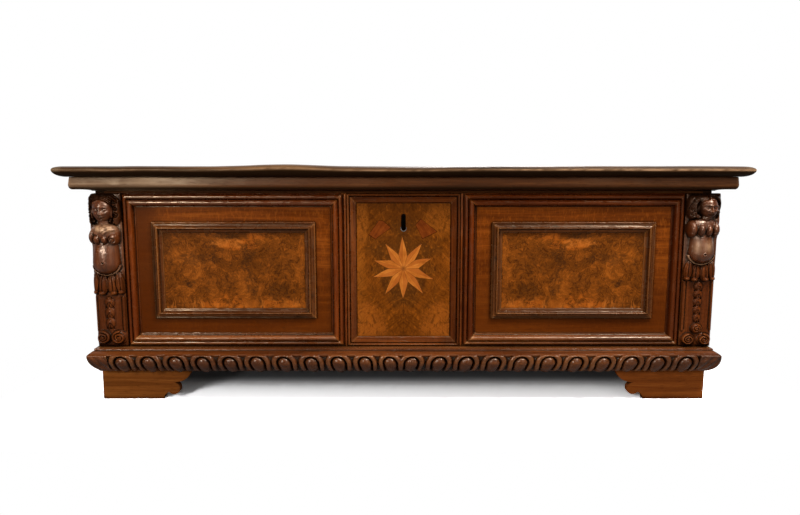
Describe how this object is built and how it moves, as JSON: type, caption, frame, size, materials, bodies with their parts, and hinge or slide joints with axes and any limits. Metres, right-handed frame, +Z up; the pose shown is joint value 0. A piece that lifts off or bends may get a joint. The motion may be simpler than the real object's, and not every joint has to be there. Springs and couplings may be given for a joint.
{
  "type": "cassapanca",
  "caption": "Long low walnut chest bench with a hinged lid, carved corner pilasters, framed burr panels, a star inlay, a gadrooned base and bracket feet.",
  "frame": {"origin": "on the floor under the middle of the chest's bounding box", "axes": "+X along the front to the viewer's right, -Y out of the front, +Z up"},
  "size_m": [1.69, 0.5606, 0.6028],
  "materials": {
    "walnut": "waxed, worn at the edges",
    "carved_walnut": "waxed carving, dark in the hollows",
    "field_walnut": "waxed cross-grained veneer",
    "burr_walnut": "waxed burr veneer",
    "fruitwood": "waxed pale inlay",
    "inlay_wood": "waxed red-brown inlay",
    "secondary_wood": "bare sawn boards",
    "wrought_iron": "forged and blackened"
  },
  "bodies": {
    "carcase": {"back_board": "secondary_wood", "base_moulding_front": "carved_walnut", "base_moulding_left": "carved_walnut", "base_moulding_right": "carved_walnut", "bottom_board": "secondary_wood", "burr_veneer_left": "burr_walnut", "burr_veneer_right": "burr_walnut", "centre_moulding_bottom": "walnut", "centre_moulding_left": "walnut", "centre_moulding_right": "walnut", "centre_moulding_top": "walnut", "centre_panel": "field_walnut", "end_board_left": "walnut", "end_board_right": "walnut", "foot_front_left": "walnut", "foot_front_right": "walnut", "foot_rear_left": "walnut", "foot_rear_right": "walnut", "foot_side_left": "walnut", "foot_side_right": "walnut", "front_board": "walnut", "hinge_back_leaf_left": "wrought_iron", "hinge_back_leaf_right": "wrought_iron", "hinge_pin_left": "wrought_iron", "hinge_pin_right": "wrought_iron", "inner_moulding_left_bottom": "walnut", "inner_moulding_left_inner": "walnut", "inner_moulding_left_outer": "walnut", "inner_moulding_left_top": "walnut", "inner_moulding_right_bottom": "walnut", "inner_moulding_right_inner": "walnut", "inner_moulding_right_outer": "walnut", "inner_moulding_right_top": "walnut", "kite_inlay_left": "inlay_wood", "kite_inlay_right": "inlay_wood", "lock_case": "wrought_iron", "muntin_bead_left": "walnut", "muntin_bead_right": "walnut", "outer_moulding_left_bottom": "walnut", "outer_moulding_left_inner": "walnut", "outer_moulding_left_outer": "walnut", "outer_moulding_left_top": "walnut", "outer_moulding_right_bottom": "walnut", "outer_moulding_right_inner": "walnut", "outer_moulding_right_outer": "walnut", "outer_moulding_right_top": "walnut", "panel_board_left": "field_walnut", "panel_board_right": "field_walnut", "pilaster_left": "carved_walnut", "pilaster_right": "carved_walnut", "star_inlay": "fruitwood"},
    "lid": {"lid_board": "walnut", "lid_lip_front": "walnut", "lid_lip_left": "walnut", "lid_lip_right": "walnut", "hinge_lid_leaf_left": "wrought_iron", "hinge_lid_leaf_right": "wrought_iron", "lid_staple": "wrought_iron"},
    "bolt": {"lock_bolt": "wrought_iron"}
  },
  "joints": [
    {"name": "lid_hinge", "type": "hinge", "parent": "carcase", "child": "lid", "pos_m": [0, 0.2725, 0.5685], "axis": [-1, 0, 0], "range_deg": [0, 100]},
    {"name": "bolt_slide", "type": "slide", "parent": "carcase", "child": "bolt", "axis": [1, 0, 0], "range_m": [0, 0.014]}
  ]
}
